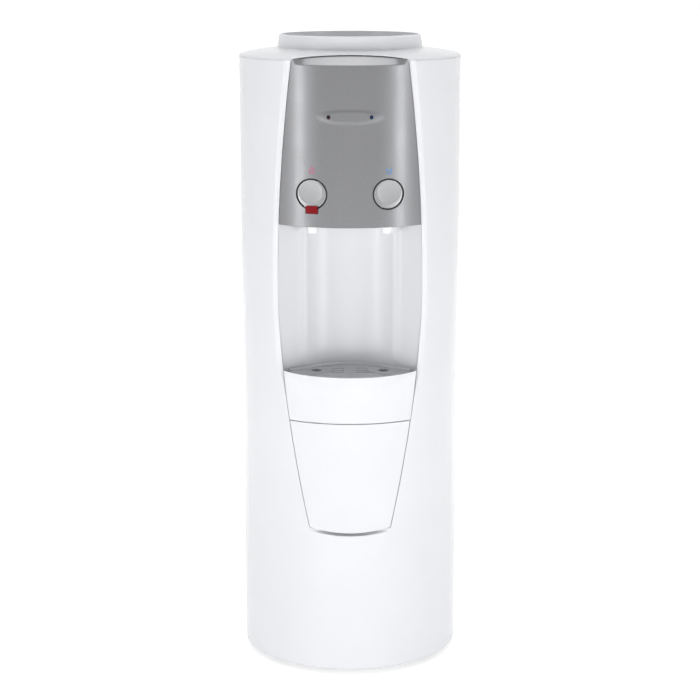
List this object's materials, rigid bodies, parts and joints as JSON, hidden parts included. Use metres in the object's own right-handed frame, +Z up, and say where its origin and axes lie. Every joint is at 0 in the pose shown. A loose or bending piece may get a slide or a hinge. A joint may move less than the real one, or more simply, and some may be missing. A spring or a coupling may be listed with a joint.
{
  "type": "water dispenser",
  "caption": "Free-standing column water cooler: bottle collar on top, shield-shaped front with push buttons, dispensing niche, pull-out drip tray, tanks and cooling unit inside.",
  "frame": {"origin": "on the floor at the middle of the footprint", "axes": "+Z up, the dispensing front faces -Y, +X to the viewer's right of the front"},
  "size_m": [0.31, 0.342, 0.889],
  "materials": {
    "white_gloss": "smooth glossy white injection-moulded plastic",
    "white_satin": "satin white plastic",
    "white_paint": "white powder-coated sheet steel",
    "silver_paint": "fine metallic silver paint on a moulding",
    "tray_grey": "satin light grey plastic",
    "lock_red": "glossy dark red plastic",
    "lens_red": "dark red tinted lens",
    "lens_blue": "dark blue tinted lens",
    "black_plastic": "matt black plastic",
    "black_paint": "satin black paint",
    "rubber_black": "black rubber",
    "steel_brushed": "stainless steel sheet",
    "steel_zinc": "zinc-plated steel",
    "copper_tube": "drawn copper tube",
    "foam_white": "expanded foam insulation",
    "silicone": "translucent white silicone",
    "board_green": "green circuit board",
    "mica_tan": "mica and foil heater band"
  },
  "bodies": {
    "cabinet": {"cabinet_shell": "white_gloss", "top_cover": "white_gloss", "control_panel": "silver_paint", "alcove_liner": "white_gloss", "lower_panel": "white_gloss", "base_pan": "white_satin", "rubber_feet": "rubber_black", "rear_panel": "white_paint", "rear_screws": "steel_zinc", "cold_tank": "steel_brushed", "foam_jacket": "foam_white", "tank_cover": "white_satin", "evaporator_coil": "copper_tube", "cold_baffle": "white_satin", "hot_tank": "steel_brushed", "hot_jacket": "foam_white", "heater_band": "mica_tan", "thermostats": "black_plastic", "tank_shelf": "white_satin", "hot_bracket": "steel_zinc", "compressor": "black_paint", "compressor_mounts": "rubber_black", "start_relay": "black_plastic", "condenser": "black_paint", "condenser_wires": "black_paint", "condenser_brackets": "black_plastic", "wall_spacers": "black_plastic", "discharge_tube": "copper_tube", "suction_tube": "copper_tube", "filter_drier": "copper_tube", "liquid_line": "copper_tube", "capillary": "copper_tube", "hot_tap": "white_satin", "cold_tap": "white_satin", "button_guides": "white_satin", "hot_spring": "steel_zinc", "cold_spring": "steel_zinc", "hot_lamp": "lens_red", "cold_lamp": "lens_blue", "indicator_board": "board_green", "switch_housings": "black_plastic", "drain_outlet": "black_plastic", "cord_gland": "black_plastic", "wiring_box": "white_satin", "hot_hose": "silicone", "cold_hose": "silicone", "feed_hose": "silicone", "drain_hose": "silicone"},
    "hot_button": {"hot_button": "silver_paint"},
    "child_lock": {"child_lock": "lock_red"},
    "cold_button": {"cold_button": "silver_paint"},
    "drip_tray": {"drip_tray": "white_gloss"},
    "tray_grille": {"tray_grille": "tray_grey"},
    "bottle_seat": {"bottle_seat": "white_satin", "feed_probe": "white_satin"},
    "hot_switch": {"hot_switch": "lock_red"},
    "cold_switch": {"cold_switch": "black_plastic"},
    "drain_cap": {"drain_cap": "black_plastic"}
  },
  "joints": [
    {"name": "hot_press", "type": "slide", "parent": "cabinet", "child": "hot_button", "axis": [0, 1, 0], "range_m": [0, 0.006], "stiffness_N_per_m": 300, "springref_m": -0.004, "deforming": ["hot_spring"]},
    {"name": "cold_press", "type": "slide", "parent": "cabinet", "child": "cold_button", "axis": [0, 1, 0], "range_m": [0, 0.006], "stiffness_N_per_m": 300, "springref_m": -0.004, "deforming": ["cold_spring"]},
    {"name": "lock_slide", "type": "slide", "parent": "hot_button", "child": "child_lock", "axis": [0, 0, 1], "range_m": [0, 0.004], "stiffness_N_per_m": 150, "springref_m": -0.003},
    {"name": "tray_pull", "type": "slide", "parent": "cabinet", "child": "drip_tray", "axis": [0, -1, 0], "range_m": [0, 0.16]},
    {"name": "grille_lift", "type": "slide", "parent": "drip_tray", "child": "tray_grille", "axis": [0, 0, 1], "range_m": [0, 0.04]},
    {"name": "seat_lift", "type": "slide", "parent": "cabinet", "child": "bottle_seat", "axis": [0, 0, 1], "range_m": [0, 0.09]},
    {"name": "hot_rock", "type": "hinge", "parent": "cabinet", "child": "hot_switch", "pos_m": [-0.022, 0.132, 0.823], "axis": [1, 0, 0], "range_deg": [0, 14]},
    {"name": "cold_rock", "type": "hinge", "parent": "cabinet", "child": "cold_switch", "pos_m": [0.022, 0.132, 0.823], "axis": [1, 0, 0], "range_deg": [0, 14]},
    {"name": "cap_unscrew", "type": "slide", "parent": "cabinet", "child": "drain_cap", "axis": [0, 1, 0], "range_m": [0, 0.02]}
  ]
}
